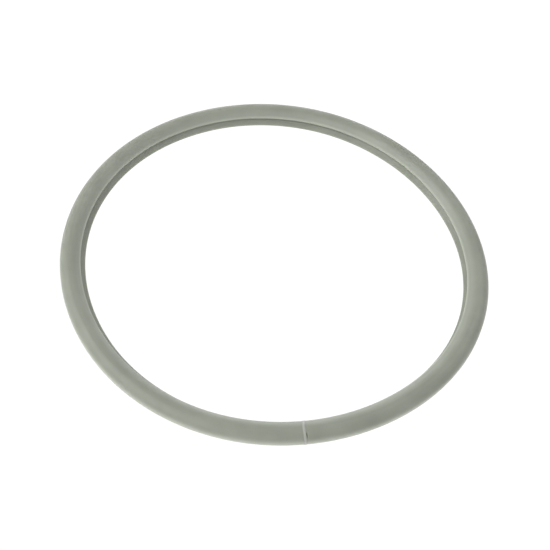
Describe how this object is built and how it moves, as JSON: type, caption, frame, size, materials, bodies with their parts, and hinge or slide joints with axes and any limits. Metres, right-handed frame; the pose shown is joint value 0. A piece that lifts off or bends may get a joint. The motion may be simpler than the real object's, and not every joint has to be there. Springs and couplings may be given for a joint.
{
  "type": "pressure cooker sealing ring",
  "caption": "Soft silicone sealing ring with a round back and two notched inner lips that seals the lid of a stovetop pressure cooker to the pot's rim.",
  "frame": {"origin": "on the ring's axis, in the plane of the underside that rests on the pot's rim", "axes": "+Z along the ring's axis, from the pot towards the lid; -Y through the splice"},
  "size_m": [0.236, 0.236, 0.0108],
  "materials": {
    "silicone": "satin grey-green silicone",
    "splice_silicone": "satin pale silicone, cured in place"
  },
  "bodies": {
    "root": {"sealing_strip": "silicone", "splice_film": "splice_silicone"}
  },
  "joints": []
}
